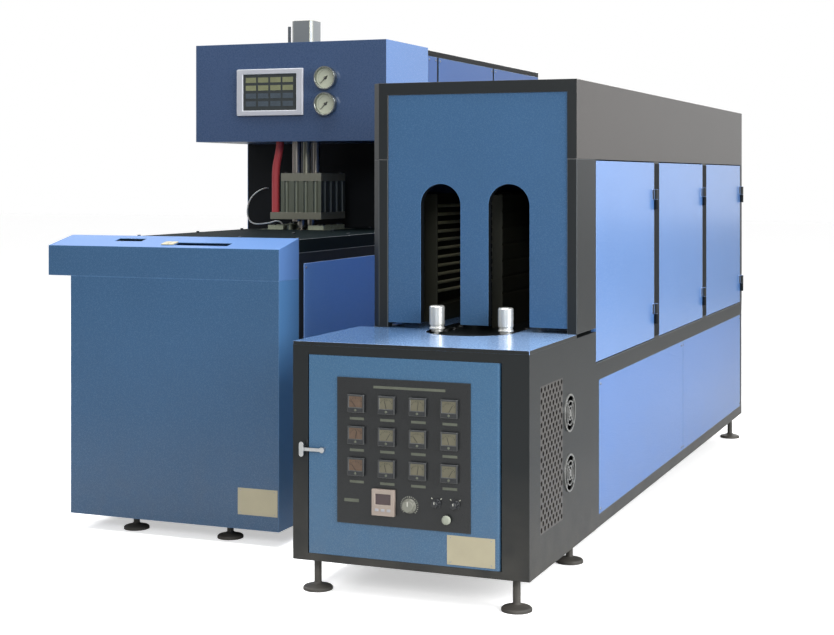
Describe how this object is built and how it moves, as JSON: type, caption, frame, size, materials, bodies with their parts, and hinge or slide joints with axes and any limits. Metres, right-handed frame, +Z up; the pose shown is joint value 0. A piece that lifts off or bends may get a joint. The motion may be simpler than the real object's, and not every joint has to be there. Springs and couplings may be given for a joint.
{
  "type": "blow moulding machine",
  "caption": "Semi-automatic stretch blow moulding machine: a blowing station with touch screen and mould clamp beside a preform heating oven with control cabinet.",
  "frame": {"origin": "centre of the bounding box in plan, on the floor", "axes": "+X right, +Y away from the operator, +Z up"},
  "size_m": [2.092, 3.625, 2.01],
  "materials": {
    "blue_front": "semi-gloss blue powder coat",
    "blue_light": "semi-gloss light blue powder coat",
    "frame_dark": "fine textured dark grey paint",
    "hood_grey": "fine textured grey paint",
    "bed_steel": "blackened machined plate",
    "screen_frame": "light grey moulded plastic",
    "screen_glass": "dark display film",
    "gauge": "polished steel case with a white dial",
    "black_part": "black moulded plastic",
    "ground_steel": "ground and hard chromed rod",
    "head_alu": "milled aluminium",
    "mould_alu": "milled and polished aluminium",
    "platen_steel": "grey painted steel plate",
    "cylinder": "anodised aluminium tube",
    "hose_air": "translucent white tube",
    "hose_red": "red rubber hose",
    "chain_steel": "oiled steel",
    "lamp_glass": "frosted quartz tube",
    "reflector": "polished reflector sheet",
    "cream": "cream moulded plastic",
    "rubber_foot": "black rubber pad on a steel stem"
  },
  "bodies": {
    "root": {"blower_frame": "frame_dark", "front_cabinet": "blue_front", "table_top": "blue_light", "bed_plate": "bed_steel", "base_side_panels": "blue_light", "tower_panels": "blue_light", "header_shell": "blue_front", "screen_bezel": "screen_frame", "screen_glass": "screen_glass", "gauge_cases": "gauge", "guide_rods": "ground_steel", "lift_cylinder": "cylinder", "clamp_end_plates": "platen_steel", "tie_bars": "ground_steel", "clamp_cylinders": "cylinder", "air_hose": "hose_air", "oven_frame": "frame_dark", "oven_front_panel": "blue_front", "oven_hood": "hood_grey", "oven_hinges": "frame_dark", "oven_panels": "blue_light", "shelf_deck": "blue_light", "chain_bed": "frame_dark", "chain": "chain_steel", "lamp_banks": "reflector", "lamp_tubes": "lamp_glass", "centre_reflector": "reflector", "control_cabinet": "frame_dark", "side_grille": "hood_grey", "fan_frames": "cylinder", "levelling_feet": "rubber_foot"},
    "gauge_needle_up": {"gauge_needle_upper": "black_part"},
    "gauge_needle_low": {"gauge_needle_lower": "black_part"},
    "blow_head": {"head_top_plate": "head_alu", "head_block": "head_alu", "head_bottom_plate": "head_alu", "blow_nozzles": "head_alu", "red_hose": "hose_red"},
    "stretch_unit": {"stretch_carriage": "platen_steel", "stretch_rods": "ground_steel"},
    "clamp_left": {"platen_left": "platen_steel", "mould_left": "mould_alu"},
    "clamp_right": {"platen_right": "platen_steel", "mould_right": "mould_alu"},
    "door_front": {"oven_door_front": "blue_light"},
    "door_middle": {"oven_door_middle": "blue_light"},
    "door_rear": {"oven_door_rear": "blue_light"},
    "spindle_l": {"spindle_left": "ground_steel"},
    "spindle_r": {"spindle_right": "ground_steel"},
    "panel_door": {"control_door": "blue_front", "control_fascia": "black_part", "panel_meters": "black_part", "temperature_controller": "cream"},
    "latch": {"door_latch": "ground_steel"},
    "dial": {"round_dial": "cream"},
    "knob_left": {"selector_left": "black_part"},
    "knob_right": {"selector_right": "black_part"},
    "button": {"push_button": "cream"},
    "fan_up": {"fan_rotor_upper": "black_part"},
    "fan_low": {"fan_rotor_lower": "black_part"}
  },
  "joints": [
    {"name": "upper_needle_turn", "type": "hinge", "parent": "root", "child": "gauge_needle_up", "pos_m": [-0.343, -0.314, 1.742], "axis": [0, 1, 0], "range_deg": [0, 270]},
    {"name": "lower_needle_turn", "type": "hinge", "parent": "root", "child": "gauge_needle_low", "pos_m": [-0.343, -0.314, 1.632], "axis": [0, 1, 0], "range_deg": [0, 270]},
    {"name": "blow_head_lift", "type": "slide", "parent": "root", "child": "blow_head", "axis": [0, 0, 1], "range_m": [0, 0.09]},
    {"name": "stretch_rod_stroke", "type": "slide", "parent": "blow_head", "child": "stretch_unit", "axis": [0, 0, -1], "range_m": [0, 0.23]},
    {"name": "clamp_left_close", "type": "slide", "parent": "root", "child": "clamp_left", "axis": [1, 0, 0], "range_m": [0, 0.0598]},
    {"name": "clamp_right_close", "type": "slide", "parent": "root", "child": "clamp_right", "axis": [-1, 0, 0], "range_m": [0, 0.0598]},
    {"name": "oven_door_front_swing", "type": "hinge", "parent": "root", "child": "door_front", "pos_m": [1.038, -0.16067, 1.032], "axis": [0, 0, 1], "range_deg": [0, 110]},
    {"name": "oven_door_middle_swing", "type": "hinge", "parent": "root", "child": "door_middle", "pos_m": [1.038, 0.79467, 1.032], "axis": [0, 0, 1], "range_deg": [0, 110]},
    {"name": "oven_door_rear_swing", "type": "hinge", "parent": "root", "child": "door_rear", "pos_m": [1.038, 1.75, 1.032], "axis": [0, 0, 1], "range_deg": [0, 110]},
    {"name": "left_spindle_spin", "type": "hinge", "parent": "root", "child": "spindle_l", "pos_m": [0.543, -1.3, 0.83], "axis": [0, 0, 1], "continuous": true},
    {"name": "right_spindle_spin", "type": "hinge", "parent": "root", "child": "spindle_r", "pos_m": [0.79, -1.3, 0.83], "axis": [0, 0, 1], "continuous": true},
    {"name": "control_door_swing", "type": "hinge", "parent": "root", "child": "panel_door", "pos_m": [0.926, -1.777, 0.45], "axis": [0, 0, 1], "range_deg": [0, 110]},
    {"name": "latch_turn", "type": "hinge", "parent": "panel_door", "child": "latch", "pos_m": [0.345, -1.792, 0.46], "axis": [0, 1, 0], "range_deg": [-90, 0]},
    {"name": "dial_turn", "type": "hinge", "parent": "panel_door", "child": "dial", "pos_m": [0.641, -1.796, 0.306], "axis": [0, 1, 0], "range_deg": [0, 270]},
    {"name": "left_selector_turn", "type": "hinge", "parent": "panel_door", "child": "knob_left", "pos_m": [0.731, -1.796, 0.32], "axis": [0, 1, 0], "range_deg": [0, 90]},
    {"name": "right_selector_turn", "type": "hinge", "parent": "panel_door", "child": "knob_right", "pos_m": [0.793, -1.796, 0.32], "axis": [0, 1, 0], "range_deg": [0, 90]},
    {"name": "button_press", "type": "slide", "parent": "panel_door", "child": "button", "axis": [0, 1, 0], "range_m": [0, 0.004], "stiffness_N_per_m": 300},
    {"name": "upper_fan_spin", "type": "hinge", "parent": "root", "child": "fan_up", "pos_m": [1.014, -1.361, 0.555], "axis": [1, 0, 0], "continuous": true},
    {"name": "lower_fan_spin", "type": "hinge", "parent": "root", "child": "fan_low", "pos_m": [1.014, -1.361, 0.36], "axis": [1, 0, 0], "continuous": true}
  ],
  "couplings": [
    {"joint": "clamp_right_close", "follows": "clamp_left_close", "ratio": 1}
  ]
}
